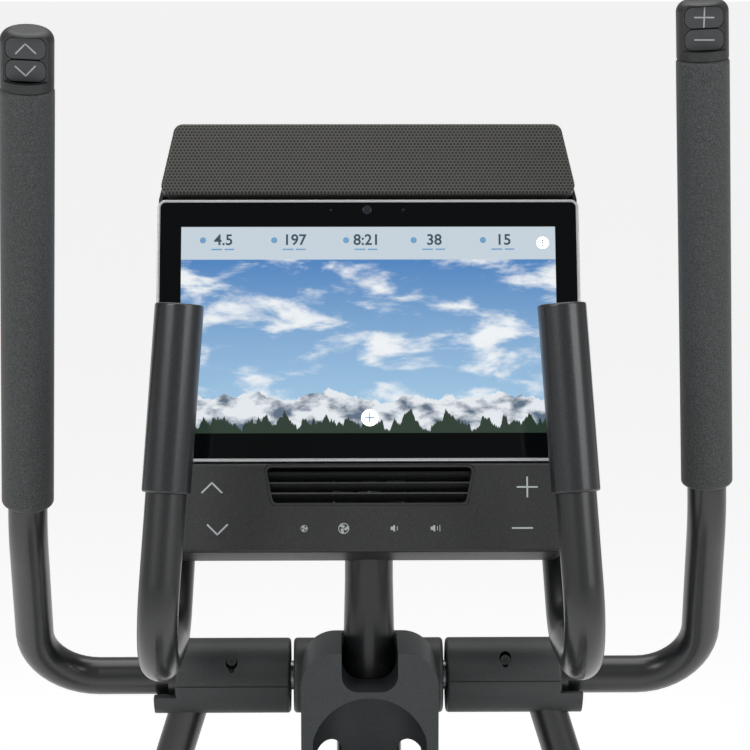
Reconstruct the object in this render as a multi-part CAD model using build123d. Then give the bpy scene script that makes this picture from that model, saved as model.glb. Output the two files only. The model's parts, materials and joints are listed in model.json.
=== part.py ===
from build123d import *
import math
import os

# Front-drive elliptical trainer with a powered ramp.
# Millimetres. +X is the user's right, +Y points forward to the console, +Z is up.
# Origin: middle of the footprint, at floor level.

# ---------------- driving dimensions ----------------
RUN = 0.05                      # radial running clearance, shaft in hole
SEAT = 0.3                      # gap where a cover or tube passes another piece
FRONT_STABILIZER = 800          # forward of the origin
STABILIZER_WIDTH = 640
STABILIZER_R = 30
FOOT_HEIGHT = 12
BEAM_W, BEAM_H = 80, 50         # centre beam of the base
BEAM_Z = FOOT_HEIGHT + 6        # underside of the centre beam

PIVOT = (0, 190, 1152)          # handle pivot axle
AXLE_R = 12.5
AXLE_HALF = 160
HUB_R = 22
HUB_IN, HUB_OUT = 70, 170       # hub tube of each handle, distance from the middle
COVER_R = 32
COVER_WALL = 2.5
COVER_OUT = 164
SCREW_X, SCREW_UP = 116, 19      # cover screw, outward from the middle and above the axle
SCREW_HOLE_R = 5
SEAM_HALF, SEAM_DEPTH = 0.5, 1      # groove where the two cover halves meet
LUG_OUT = 182                   # end of the lower half's lug under the handle tube
CENTRE_COVER_HALF = 63.5
TUBE_R = 15.9
GRIP_R = 21
POD_R = 20.5
LEG_LENGTH = 690                # pivot to the link pin
LEG_X = 226                     # distance of the lower leg from the middle
REST_SWING = 3.5                # degrees each handle stands from mid swing

CRANK = (0, 520, 330)
CRANK_R = 228.5                 # half of the stride length
CRANK_REST = 85                 # degrees of the left pin above forward
DISC_R = 280
DISC_IN, DISC_OUT = 100, 112
PULLEY_R = 170
PULLEY_W = 20
FLYWHEEL = (0, 705, 470)
FLYWHEEL_R = 132
FLYWHEEL_PULLEY_R = 25
BELT_T = 3
SHROUD_HALF = 95
SHROUD_WALL = 3
EDGE_R = 14                     # rounded outer edges of the plastic covers

RAMP_HINGE = (0, 150, 370)
RAMP_INCLINE = 10               # degrees at rest
RAIL_X = 85
RAIL_R = 15
RAIL_LENGTH = 950
ROLLER_R = 35
ROLLER_W = 28
ROLLER_GAP = 0.3
LIFT_AT = 300                   # along the rail from the hinge

ARM_LENGTH = 1075               # crank pin to roller axle
ARM_X = 145
ARM_W, ARM_H = 40, 56
ARM_WALL = 3
BOSS_R = 32
LINK_ALONG = 0.36               # link pin on the arm, share of its length
LINK_ABOVE = 40
LINK_IN, LINK_OUT = 176, 198
LINK_PIN_R = 8
BRACKET_T = 7
PEDAL_X = 176
PEDAL_W, PEDAL_L = 140, 380
PEDAL_RIM = 16
PEDAL_T = 10

SCREEN = (0, 139, 1457)         # middle of the touch screen
SCREEN_TILT = 20                # degrees back from upright
PANEL_W, PANEL_H = 310, 174.4   # 14 inch wide picture
TABLET_W, TABLET_H, TABLET_T = 350, 221, 16
TABLET_R = 7
BEZEL_T = 2
TRIM = 2.4
SPEAKER_BOTTOM, SPEAKER_TOP = 115, 176
SPEAKER_TOP_W = 322
LOWER_BOTTOM = 185              # below the screen's middle
LOWER_W = 314
SHELL_DEPTH = 62
SHELL_WALL = 3
VENT_TOP_W, VENT_BOTTOM_W = 173, 161
VENT_TOP, VENT_BOTTOM = 113, 147
SLAT_PITCH = 8.6

MAST_R = 20
MAST_FLARE_R = 23
MAST_Y = 137
POST_R = 27
POST_FOOT_Y = 300
PULSE_R = 15.9
SLEEVE_R = 19
HOLDER_W = 112
HOLDER_FRONT = 70               # front plane, forward of the origin
HOLDER_ARCH_R = 48
CUP_WALL = 4
CUP_Y = 58

# transport wheels, stabilizers and tower
WHEEL_R = 28
WHEEL_BOLT_R = 5
WHEEL_X = 235
WHEEL_Y = FRONT_STABILIZER + STABILIZER_R + WHEEL_R + 6
WHEEL_Z = WHEEL_R + 8
STAB_Y = {1: FRONT_STABILIZER, -1: STABILIZER_R - WHEEL_Y - WHEEL_R}
STAB_Z = FOOT_HEIGHT + STABILIZER_R
BEAM_TOP = BEAM_Z + BEAM_H
TOWER_Y0, TOWER_Y1 = RAMP_HINGE[1] - 28, RAMP_HINGE[1] + 28

# bearings and pins
BEARING_R = 24
RAMP_PIN_R = 10
RAMP_PIN_HALF = 102
FLYWHEEL_AXLE_R = 10
MAST_FOOT = 1118
PULSE_CROSS_Y = 187
PULSE_CROSS_Z = 1316

# handle tube from the pivot, user's right side at mid swing
ELBOW = (283, 0, 0)
KNEE = (278, -85, 150)
TOP = (258, -176, 563)
GRIP_AT = 26                    # from the knee to the foam
GRIP_LENGTH = 353
POD_LENGTH = 45
UPPER = Plane(origin=KNEE, x_dir=(1, 0, 0), z_dir=tuple(TOP[i] - KNEE[i] for i in range(3)))
POD_AT = GRIP_AT + GRIP_LENGTH
POD_FACE = 11.5                 # flat key face, from the tube's axis
KEY_W, KEY_H, KEY_T = 30, 16, 2.2
KEY_GAP = 0.4
KEY_TRAVEL = 0.8
KEY_CENTRES = (15.5, 33)      # along the pod, lower and upper key
LEG_TOP_X = 145
LEG_BEND_Z = 258

# brake
BRAKE_PIN_R = 6
BRAKE_GAP = 5
LIFT_ROD_R = 12

# pulse handle, from the top down and forward
PULSE_TOP = (148, 4, 1485)
PULSE_LOW = (168, -46, 1207)
PULSE_BACK = (163, 108, 1207)
PULSE_RISE = (159, PULSE_CROSS_Y, PULSE_CROSS_Z)
SLEEVE_TOP = 8
SLEEVE_LENGTH = 146

# console plane
TILT = math.radians(SCREEN_TILT)
CONSOLE = Plane(origin=SCREEN, x_dir=(1, 0, 0), z_dir=(0, -math.cos(TILT), math.sin(TILT)))

# bottle holder heights
HOLDER_TOP = 1200
NOTCH_Z = 1168                  # floor of the notch where the mast goes in
ARCH_Z = 1115
CUP_FLOOR = 985
CUP_RING_TOP = 1080
WINDOW_IN, WINDOW_OUT = 23, 44
WINDOW_TOP = 1112

SIDES = (("left", -1), ("right", 1))
STANDING = (Align.CENTER, Align.CENTER, Align.MIN)
os.makedirs("parts", exist_ok=True)


# ---------------- helpers ----------------
def save(node, *solids):
    shape = solids[0] if len(solids) == 1 else Compound(children=list(solids))
    export_step(shape, f"parts/{node}.step")


def rod(x0, x1, y, z, r):
    """A solid cylinder along X."""
    return Pos((x0 + x1) / 2, y, z) * Rot(0, 90, 0) * Cylinder(r, abs(x1 - x0))


def block(x0, x1, y0, y1, z0, z1):
    return Pos((x0 + x1) / 2, (y0 + y1) / 2, (z0 + z1) / 2) * Box(x1 - x0, y1 - y0, z1 - z0)


def tube(points, radii, r, wall=0):
    """A round tube along straight runs with rounded corners."""
    path = FilletPolyline(*points, radius=radii) if len(points) > 2 else Line(*points)
    section = Circle(r) - Circle(r - wall) if wall else Circle(r)
    return sweep(sections=(path ^ 0) * section, path=path)


def mirrored(shape, side):
    return shape if side > 0 else mirror(shape, about=Plane.YZ)


def turn(shape, centre, degrees):
    """Turn about a line along X through a point."""
    return Pos(*centre) * Rot(degrees, 0, 0) * Pos(-centre[0], -centre[1], -centre[2]) * shape


def yz(centre, distance, degrees):
    a = math.radians(degrees)
    return (centre[1] + distance * math.cos(a), centre[2] + distance * math.sin(a))


# ---------------- rest positions of the linkage ----------------
def crank_pin(side):
    return yz(CRANK, CRANK_R, CRANK_REST if side < 0 else CRANK_REST + 180)


def roller_centre(side):
    """Where the roller touches the rail at one arm length from the crank pin."""
    a = math.radians(RAMP_INCLINE)
    along = (-math.cos(a), -math.sin(a))
    lift = RAIL_R + ROLLER_R + ROLLER_GAP
    start = (RAMP_HINGE[1] - math.sin(a) * lift, RAMP_HINGE[2] + math.cos(a) * lift)
    pin = crank_pin(side)
    dy, dz = start[0] - pin[0], start[1] - pin[1]
    b = dy * along[0] + dz * along[1]
    s = -b + math.sqrt(b * b - (dy * dy + dz * dz - ARM_LENGTH ** 2))
    return (start[0] + s * along[0], start[1] + s * along[1])


def arm_angle(side):
    pin, roller = crank_pin(side), roller_centre(side)
    return math.degrees(math.atan2(pin[1] - roller[1], pin[0] - roller[0]))


def arm_point(side, along, above):
    """A point on a pedal arm, from its roller axle."""
    roller = roller_centre(side)
    a = math.radians(arm_angle(side))
    y = roller[0] + along * math.cos(a) - above * math.sin(a)
    z = roller[1] + along * math.sin(a) + above * math.cos(a)
    return (y, z)


def leg_point(side):
    """The link pin at the foot of a swing leg. A left handle stands towards the user."""
    a = math.radians(-REST_SWING * side)
    return (PIVOT[1] + LEG_LENGTH * math.sin(a), PIVOT[2] - LEG_LENGTH * math.cos(a))


# ---------------- base ----------------


def stabilizers():
    for node, end in (("front_stabilizer", 1), ("rear_stabilizer", -1)):
        bar = rod(-STABILIZER_WIDTH / 2, STABILIZER_WIDTH / 2, STAB_Y[end], STAB_Z, STABILIZER_R)
        half = STABILIZER_WIDTH / 2 + 1
        hollow = rod(-half, half, STAB_Y[end], STAB_Z, STABILIZER_R - 2.5)
        if end > 0:
            bar += wheel_forks()
        save(node, bar - hollow)


def stabilizer_caps():
    caps = []
    for end in (1, -1):
        for side in (1, -1):
            x = side * STABILIZER_WIDTH / 2
            face = rod(x, x + side * 12, STAB_Y[end], STAB_Z, STABILIZER_R)
            plug = rod(x - side * 22, x, STAB_Y[end], STAB_Z, STABILIZER_R - 2.8)
            edges = face.edges().filter_by(GeomType.CIRCLE).sort_by(Axis.X)
            caps.append(fillet(edges[-1] if side > 0 else edges[0], 6) + plug)
    save("stabilizer_end_caps", *caps)


def levelling_feet():
    feet = []
    for end in (1, -1):
        for side in (1, -1):
            x = side * (STABILIZER_WIDTH / 2 - 45)
            pad = Pos(x, STAB_Y[end], 0) * Cylinder(22, 10, align=STANDING)
            stem = Pos(x, STAB_Y[end], 10) * Cylinder(5, 8, align=STANDING)
            top = rod(x - 40, x + 40, STAB_Y[end], STAB_Z, STABILIZER_R)
            feet.append(fillet(pad.edges().sort_by(Axis.Z)[-1], 3) + (stem - top))
    save("levelling_feet", *feet)


def transport_wheels():
    """Two wheels ahead of the front stabilizer, on stub bolts held by forks of the base."""
    wheels = []
    for side in (1, -1):
        x = side * WHEEL_X
        wheel = rod(x - 11, x + 11, WHEEL_Y, WHEEL_Z, WHEEL_R)
        wheel = fillet(wheel.edges().filter_by(GeomType.CIRCLE), 4)
        for face in (1, -1):
            wheel -= rod(x + face * 8, x + face * 12, WHEEL_Y, WHEEL_Z, WHEEL_R - 8) - rod(
                x + face * 7, x + face * 13, WHEEL_Y, WHEEL_Z, 11)
        wheels.append(wheel - rod(x - 12, x + 12, WHEEL_Y, WHEEL_Z, WHEEL_BOLT_R + RUN))
    save("transport_wheels", *wheels)


def wheel_forks():
    """Two forks welded to the front stabilizer, each with its wheel bolt."""
    forks = Part()
    for side in (1, -1):
        x = side * WHEEL_X
        for cheek in (1, -1):
            x0 = x + cheek * 13
            x1 = x + cheek * 17
            lo, hi = min(x0, x1), max(x0, x1)
            plate = block(lo, hi, FRONT_STABILIZER, WHEEL_Y, WHEEL_Z - 12, WHEEL_Z + 12)
            forks += plate + rod(lo, hi, WHEEL_Y, WHEEL_Z, 12)
        forks += rod(x - 20, x + 20, WHEEL_Y, WHEEL_Z, WHEEL_BOLT_R)
    return forks


def base_frame():
    beam = block(-BEAM_W / 2, BEAM_W / 2, STAB_Y[-1], STAB_Y[1], BEAM_Z, BEAM_TOP)
    beam = fillet(beam.edges().filter_by(Axis.Y), 8)
    for end in (1, -1):
        beam -= rod(-BEAM_W, BEAM_W, STAB_Y[end], STAB_Z, STABILIZER_R)
    for side in (1, -1):
        lo, hi = sorted((side * 47, side * 55))
        tower = block(lo, hi, TOWER_Y0, TOWER_Y1, BEAM_Z, RAMP_HINGE[2])
        tower += rod(lo, hi, RAMP_HINGE[1], RAMP_HINGE[2], 28)
        lo, hi = sorted((side * 39, side * 47))
        web = block(lo, hi, TOWER_Y0, TOWER_Y1, BEAM_Z + 8, BEAM_TOP + 40)
        crank_plate = block(lo, hi, CRANK[1] - 45, CRANK[1] + 45, BEAM_Z + 10, CRANK[2])
        crank_plate += rod(lo, hi, CRANK[1], CRANK[2], 45)
        crank_plate -= rod(lo - 1, hi + 1, CRANK[1], CRANK[2], BEARING_R)
        wheel_plate = block(lo, hi, FLYWHEEL[1] - 30, FLYWHEEL[1] + 30, BEAM_Z + 10, FLYWHEEL[2])
        wheel_plate += rod(lo, hi, FLYWHEEL[1], FLYWHEEL[2], 30)
        beam += tower + web + crank_plate + wheel_plate
    beam += rod(-RAMP_PIN_HALF, RAMP_PIN_HALF, RAMP_HINGE[1], RAMP_HINGE[2], RAMP_PIN_R)
    beam += rod(-47, 47, FLYWHEEL[1], FLYWHEEL[2], FLYWHEEL_AXLE_R)
    beam += brake_bracket()
    beam -= Pos(0, POST_FOOT_Y, 0) * Cylinder(POST_R, 400, align=STANDING)
    save("base_frame", beam)


def post_tube(r, wall=0):
    points = [(0, POST_FOOT_Y, BEAM_Z + 8), (0, POST_FOOT_Y, 660), (0, MAST_Y, 1000), (0, MAST_Y, MAST_FOOT)]
    return tube(points, (120, 110), r, wall)


def upright():
    save("upright_post", post_tube(POST_R, 3))
    mast_top = SCREEN[2] - 172
    mast = Pos(0, MAST_Y, MAST_FOOT) * Cylinder(MAST_R, mast_top - MAST_FOOT, align=STANDING)
    flare = Pos(0, MAST_Y, MAST_FOOT) * Cone(MAST_FLARE_R, MAST_R, 130, align=STANDING)
    plate_y = PULSE_CROSS_Y - PULSE_R - 10
    saddle = block(-42, 42, plate_y, PULSE_CROSS_Y, PULSE_CROSS_Z - 16, PULSE_CROSS_Z + 16)
    saddle = fillet(saddle.edges().filter_by(Axis.Y), 4)
    saddle += block(-17, 17, plate_y, plate_y + 8, PULSE_CROSS_Z - 80, PULSE_CROSS_Z)
    saddle += block(-12, 12, MAST_Y + 10, plate_y + 4, PULSE_CROSS_Z - 80, PULSE_CROSS_Z - 58)
    saddle -= rod(-60, 60, PULSE_CROSS_Y, PULSE_CROSS_Z, PULSE_R)
    yoke = rod(-30, 30, PIVOT[1], PIVOT[2], AXLE_R + 6)
    yoke += block(-24, 24, MAST_Y, PIVOT[1], PIVOT[2] - 14, PIVOT[2] + 14)
    mast = mast + flare + saddle + yoke - rod(-60, 60, PIVOT[1], PIVOT[2], AXLE_R)
    save("console_mast", mast)
    axle = rod(-AXLE_HALF, AXLE_HALF, PIVOT[1], PIVOT[2], AXLE_R)
    save("pivot_axle", chamfer(axle.edges().filter_by(GeomType.CIRCLE), 1))


# ---------------- handle pivot covers ----------------
def shell_ring(x0, x1, outer, wall, bore):
    """A closed round cover along X with an inner space and a hole through both ends."""
    ring = rod(x0, x1, PIVOT[1], PIVOT[2], outer)
    ring = fillet(ring.edges().filter_by(GeomType.CIRCLE), 3)
    lo, hi = sorted((x0, x1))
    ring -= rod(lo + wall, hi - wall, PIVOT[1], PIVOT[2], outer - wall)
    return ring - rod(lo - 1, hi + 1, PIVOT[1], PIVOT[2], bore)


def centre_cover():
    cover = shell_ring(-CENTRE_COVER_HALF, CENTRE_COVER_HALF, COVER_R, COVER_WALL, AXLE_R + SEAT)
    cover -= block(-28, 28, MAST_Y - 30, PIVOT[1], PIVOT[2] - 40, PIVOT[2] + 40)
    save("centre_pivot_cover", cover)


# ---------------- swinging handles, drawn at mid swing for the right side ----------------


def swing_to_rest(shape, side):
    return Pos(*PIVOT) * Rot(-REST_SWING * side, 0, 0) * mirrored(shape, side)


def local_rod(x0, x1, y, z, r):
    return Pos((x0 + x1) / 2, y, z) * Rot(0, 90, 0) * Cylinder(r, abs(x1 - x0))


def swing_arm():
    hub = local_rod(HUB_IN, HUB_OUT, 0, 0, HUB_R)
    tube_end = UPPER.from_local_coords((0, 0, POD_AT + POD_LENGTH - 10))
    handle = tube([(HUB_OUT - 2, 0, 0), ELBOW, KNEE, tuple(tube_end)], (52, 150), TUBE_R)
    leg = tube([(LEG_TOP_X, 0, 0), (LEG_X, 0, -LEG_BEND_Z), (LEG_X, 0, -LEG_LENGTH)], (140,), TUBE_R)
    eye = local_rod(LEG_X - 19, LEG_X + 19, 0, -LEG_LENGTH, 21)
    eye += local_rod(LINK_IN - 2, LEG_X, 0, -LEG_LENGTH, LINK_PIN_R)
    arm = hub + handle + leg + eye
    return arm - local_rod(HUB_IN - 1, AXLE_HALF + 3, 0, 0, AXLE_R + RUN)


def foam_grip():
    grip = UPPER * Pos(0, 0, GRIP_AT) * Cylinder(GRIP_R, GRIP_LENGTH, align=STANDING)
    grip = fillet(grip.edges().filter_by(GeomType.CIRCLE), 4)
    return grip - UPPER * Pos(0, 0, -40) * Cylinder(TUBE_R, 600, align=STANDING)


def key_pocket(centre, grow):
    y = -(POD_FACE - KEY_T / 2 - KEY_TRAVEL / 2)
    shape = Box(KEY_W + 2 * grow, KEY_T + KEY_TRAVEL, KEY_H + 2 * grow)
    return UPPER * Pos(0, y, POD_AT + centre) * fillet(shape.edges().filter_by(Axis.Y), 6)


def key_pod():
    pod = Pos(0, 0, POD_AT) * Cylinder(POD_R, POD_LENGTH, align=STANDING)
    pod = fillet(pod.edges().sort_by(Axis.Z)[-1], 9)
    pod -= Pos(0, -POD_FACE - 20, POD_AT + POD_LENGTH / 2 + 2.5) * Box(60, 40, POD_LENGTH - 9)
    pod = UPPER * pod
    for centre in KEY_CENTRES:
        pod -= key_pocket(centre, KEY_GAP)
    bore = Cylinder(TUBE_R, 600 - 10, align=STANDING)
    tube_space = Pos(0, 0, POD_AT + POD_LENGTH - 10 - 590) * bore
    return pod - UPPER * tube_space


def tube_flat():
    """The flat on the tube's end that leaves room for the keys' pockets."""
    depth = POD_FACE - KEY_T - KEY_TRAVEL - 1
    return UPPER * Pos(0, -depth - 20, POD_AT + 40) * Box(60, 40, 86)


def key(centre):
    shape = Box(KEY_W, KEY_T, KEY_H)
    shape = fillet(shape.edges().filter_by(Axis.Y), 6)
    return UPPER * Pos(0, -(POD_FACE - KEY_T / 2), POD_AT + centre) * shape


def pivot_covers(side):
    """Top and bottom halves round the hub, with holes for the leg and the handle tube."""
    ring = local_rod(HUB_IN - 4, COVER_OUT, 0, 0, COVER_R)
    ring = fillet(ring.edges().filter_by(GeomType.CIRCLE), 3)
    ring -= local_rod(HUB_IN - 4 + COVER_WALL, COVER_OUT - COVER_WALL, 0, 0, COVER_R - COVER_WALL)
    ring -= local_rod(0, 300, 0, 0, HUB_R + SEAT)
    leg = tube([(LEG_TOP_X, 0, 0), (LEG_X, 0, -LEG_BEND_Z)], (), TUBE_R + SEAT)
    ring -= leg
    ring -= Pos(SCREW_X, -COVER_R, SCREW_UP) * Rot(90, 0, 0) * Cylinder(SCREW_HOLE_R, 30)
    ring -= Pos(SCREW_X, -COVER_R, SCREW_UP - SCREW_HOLE_R) * Rot(90, 0, 0) * Cylinder(SCREW_HOLE_R / 2, 30)
    seam = block(0, 300, -100, 100, -SEAM_HALF, SEAM_HALF)
    ring -= seam - local_rod(0, 300, 0, 0, COVER_R - SEAM_DEPTH)
    lug = local_rod(COVER_OUT - COVER_WALL, LUG_OUT, 0, 0, COVER_R)
    lug -= local_rod(0, 300, 0, 0, HUB_R + SEAT)
    lug = (lug - leg) & block(0, 300, -100, 100, -100, -COVER_R / 3)
    top = ring - block(0, 300, -100, 100, -100, 0)
    bottom = ring - block(0, 300, -100, 100, 0, 100) + lug
    return [swing_to_rest(half, side) for half in (top, bottom)]


def handles():
    arm = swing_arm() - tube_flat()
    for name, side in SIDES:
        save(f"swing_arm_{name}", swing_to_rest(arm, side))
        save(f"foam_grip_{name}", swing_to_rest(foam_grip(), side))
        save(f"key_pod_{name}", swing_to_rest(key_pod(), side))
        save(f"pivot_covers_{name}", *pivot_covers(side))
    for node, side, centre in (("ramp_down_key", -1, 0), ("ramp_up_key", -1, 1),
                               ("resistance_minus_key", 1, 0), ("resistance_plus_key", 1, 1)):
        save(node, swing_to_rest(key(KEY_CENTRES[centre]), side))


# ---------------- links ----------------
def link(side):
    top = leg_point(side)
    foot = arm_point(side, ARM_LENGTH * LINK_ALONG, LINK_ABOVE)
    dy, dz = foot[0] - top[0], foot[1] - top[1]
    length = math.hypot(dy, dz)
    bar = Pos((LINK_IN + LINK_OUT) / 2, 0, 0) * Box(LINK_OUT - LINK_IN - 8, length, 26)
    bar = fillet(bar.edges().filter_by(Axis.Y), 5)
    bar = Rot(math.degrees(math.atan2(dz, dy)), 0, 0) * bar
    bar = Pos(0, (top[0] + foot[0]) / 2, (top[1] + foot[1]) / 2) * bar
    bar += rod(LINK_IN, LINK_OUT, top[0], top[1], 20)
    bar += rod(LINK_IN, LINK_OUT, foot[0], foot[1], 20)
    bar -= rod(LINK_IN - 1, LINK_OUT + 1, top[0], top[1], LINK_PIN_R + RUN)
    bar -= rod(LINK_IN - 1, LINK_OUT + 1, foot[0], foot[1], LINK_PIN_R)
    bar += rod(LINK_IN, LINK_OUT + 6, foot[0], foot[1], LINK_PIN_R) + rod(
        LINK_OUT, LINK_OUT + 6, foot[0], foot[1], 12)
    return bar


# ---------------- drive ----------------
def drive():
    axle = rod(-DISC_IN + 6, DISC_IN - 6, CRANK[1], CRANK[2], AXLE_R)
    save("crank_axle", axle)
    bearings = []
    for side in (1, -1):
        lo, hi = sorted((side * 37, side * 51))
        bearings.append(rod(lo, hi, CRANK[1], CRANK[2], BEARING_R) - rod(
            lo - 1, hi + 1, CRANK[1], CRANK[2], AXLE_R + RUN))
    save("crank_bearings", *bearings)
    pulley = rod(-PULLEY_W / 2, PULLEY_W / 2, CRANK[1], CRANK[2], PULLEY_R)
    pulley -= rod(-PULLEY_W / 2 - 1, PULLEY_W / 2 + 1, CRANK[1], CRANK[2], PULLEY_R - 14)
    pulley += rod(-4, 4, CRANK[1], CRANK[2], PULLEY_R - 10) + rod(-20, 20, CRANK[1], CRANK[2], 26)
    for i in range(6):
        y, z = yz(CRANK, 95, 60 * i)
        pulley -= rod(-10, 10, y, z, 30)
    save("drive_pulley", pulley - rod(-30, 30, CRANK[1], CRANK[2], AXLE_R))
    for name, side in SIDES:
        pin = crank_pin(side)
        disc = rod(DISC_IN, DISC_OUT, CRANK[1], CRANK[2], DISC_R)
        disc = fillet(disc.edges().filter_by(GeomType.CIRCLE), 4)
        disc += rod(DISC_IN - 6, DISC_OUT, CRANK[1], CRANK[2], 30) + rod(
            DISC_OUT - 2, DISC_OUT + 8, pin[0], pin[1], 26)
        disc -= rod(0, DISC_IN - 6, CRANK[1], CRANK[2], AXLE_R)
        save(f"crank_disc_{name}", mirrored(disc, side))
    wheel = rod(17, 33, FLYWHEEL[1], FLYWHEEL[2], FLYWHEEL_R)
    wheel -= rod(24, 34, FLYWHEEL[1], FLYWHEEL[2], FLYWHEEL_R - 26) - rod(
        20, 40, FLYWHEEL[1], FLYWHEEL[2], 30)
    wheel += rod(-PULLEY_W / 2, 18, FLYWHEEL[1], FLYWHEEL[2], FLYWHEEL_PULLEY_R)
    save("flywheel", wheel - rod(-40, 40, FLYWHEEL[1], FLYWHEEL[2], FLYWHEEL_AXLE_R + RUN))
    belt_drive()
    brake()


def belt_outline(grow):
    """The belt's outline round both pulleys, as an area in the YZ plane."""
    big, small = PULLEY_R + grow, FLYWHEEL_PULLEY_R + grow
    dy, dz = FLYWHEEL[1] - CRANK[1], FLYWHEEL[2] - CRANK[2]
    span = math.hypot(dy, dz)
    heading = math.degrees(math.atan2(dz, dy))
    lean = math.degrees(math.acos((big - small) / span))
    corners = [yz(CRANK, big, heading + lean), yz(FLYWHEEL, small, heading + lean),
               yz(FLYWHEEL, small, heading - lean), yz(CRANK, big, heading - lean)]
    sheet = Plane.YZ * make_face(Polyline(*corners, close=True))
    solid = Pos(-PULLEY_W / 2 + 2, 0, 0) * extrude(sheet, PULLEY_W - 4)
    solid += rod(-PULLEY_W / 2 + 2, PULLEY_W / 2 - 2, CRANK[1], CRANK[2], big)
    return solid + rod(-PULLEY_W / 2 + 2, PULLEY_W / 2 - 2, FLYWHEEL[1], FLYWHEEL[2], small)


def belt_drive():
    save("drive_belt", belt_outline(SEAT + BELT_T) - belt_outline(SEAT))


BRAKE_PIN = yz(FLYWHEEL, FLYWHEEL_R + 26, 20)


def brake():
    """A curved magnet holder over the flywheel's rim, hung on a pin at its front end."""
    inner, outer = FLYWHEEL_R + BRAKE_GAP, FLYWHEEL_R + BRAKE_GAP + 14
    ring = rod(12, 38, FLYWHEEL[1], FLYWHEEL[2], outer) - rod(11, 39, FLYWHEEL[1], FLYWHEEL[2], inner)
    reach = 260
    keep = [(FLYWHEEL[1], FLYWHEEL[2])]
    keep += [yz(FLYWHEEL, reach, angle) for angle in (20, 60, 100)]
    wedge = Plane.YZ * make_face(Polyline(*keep, close=True))
    holder = ring & (Pos(0, 0, 0) * extrude(wedge, 60))
    holder += rod(12, 38, BRAKE_PIN[0], BRAKE_PIN[1], 13)
    save("magnet_holder", holder - rod(0, 60, BRAKE_PIN[0], BRAKE_PIN[1], BRAKE_PIN_R + RUN))


def brake_bracket():
    """The pin of the magnet holder, on an arm of the flywheel's plate."""
    bracket = rod(8, 47, BRAKE_PIN[0], BRAKE_PIN[1], BRAKE_PIN_R)
    bracket += block(39.5, 47, FLYWHEEL[1] + 31, BRAKE_PIN[0] + 10, BRAKE_PIN[1] - 14, BRAKE_PIN[1] + 14)
    bracket += block(39.5, 47, FLYWHEEL[1] + 31, FLYWHEEL[1] + 55, FLYWHEEL[2] - 40, BRAKE_PIN[1])
    bracket += block(39.5, 47, FLYWHEEL[1] + 30, FLYWHEEL[1] + 55, FLYWHEEL[2] - 40, FLYWHEEL[2] - 12)
    return bracket


def shroud():
    outline = Plane.YZ * make_face(FilletPolyline(
        (238, 98), (862, 98), (886, 220), (868, 560), (770, 664), (430, 712), (262, 640), (232, 300),
        radius=(20, 60, 120, 90, 110, 90, 120, 20), close=True))
    body = extrude(outline, SHROUD_HALF)
    body = fillet(body.faces().sort_by(Axis.X)[-1].edges(), EDGE_R)
    inner = extrude(offset(outline, amount=-SHROUD_WALL), SHROUD_HALF - SHROUD_WALL)
    body -= fillet(inner.faces().sort_by(Axis.X)[-1].edges(), EDGE_R - SHROUD_WALL)
    body -= rod(0, 200, CRANK[1], CRANK[2], 36)
    body -= post_tube(POST_R + SEAT)
    body -= block(-1, 58, CRANK[1] - 50, FLYWHEEL[1] + 60, 90, 104)
    body -= block(-1, 18 + SEAT, 840, 900, 122 - SEAT, 146 + SEAT)
    for name, side in SIDES:
        save(f"shroud_{name}", mirrored(body, side))


# ---------------- ramp and pedals ----------------
def on_ramp(shape):
    """Place a piece drawn with the rail along -Y from the hinge at zero."""
    return Pos(*RAMP_HINGE) * Rot(RAMP_INCLINE, 0, 0) * shape


def ramp():
    frame = Part()
    for side in (1, -1):
        rail = Pos(side * RAIL_X, -RAIL_LENGTH / 2 - 10, 0) * Rot(90, 0, 0) * Cylinder(RAIL_R, RAIL_LENGTH)
        eye = Pos(side * RAIL_X, 0, 0) * Rot(0, 90, 0) * Cylinder(20, 30)
        frame += rail + eye
    for along in (LIFT_AT, RAIL_LENGTH - 30):
        frame += Pos(0, -along, 0) * Rot(0, 90, 0) * Cylinder(13, 2 * RAIL_X)
    frame -= Rot(0, 90, 0) * Cylinder(RAMP_PIN_R + RUN, 2 * RAMP_PIN_HALF + 20)
    save("ramp_rails", on_ramp(frame))
    lift_point = on_ramp(Pos(0, -LIFT_AT, 0) * Sphere(1)).center()
    rod_top = lift_point.Z - 13 - 3
    motor = block(-32, 32, lift_point.Y - 40, lift_point.Y + 40, BEAM_TOP, BEAM_TOP + 70)
    motor = fillet(motor.edges().filter_by(Axis.Z), 10)
    motor += Pos(0, lift_point.Y, BEAM_TOP) * Cylinder(22, 165, align=STANDING)
    motor -= Pos(0, lift_point.Y, BEAM_TOP + 8) * Cylinder(
        LIFT_ROD_R + RUN, 400, align=STANDING)
    save("lift_motor", motor)
    height = rod_top - (BEAM_TOP + 75)
    ram = Pos(0, lift_point.Y, BEAM_TOP + 75) * Cylinder(
        LIFT_ROD_R, height, align=STANDING)
    pad = Pos(0, lift_point.Y, rod_top - 12) * Cylinder(20, 12, align=STANDING)
    save("lift_rod", ram + pad)


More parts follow.
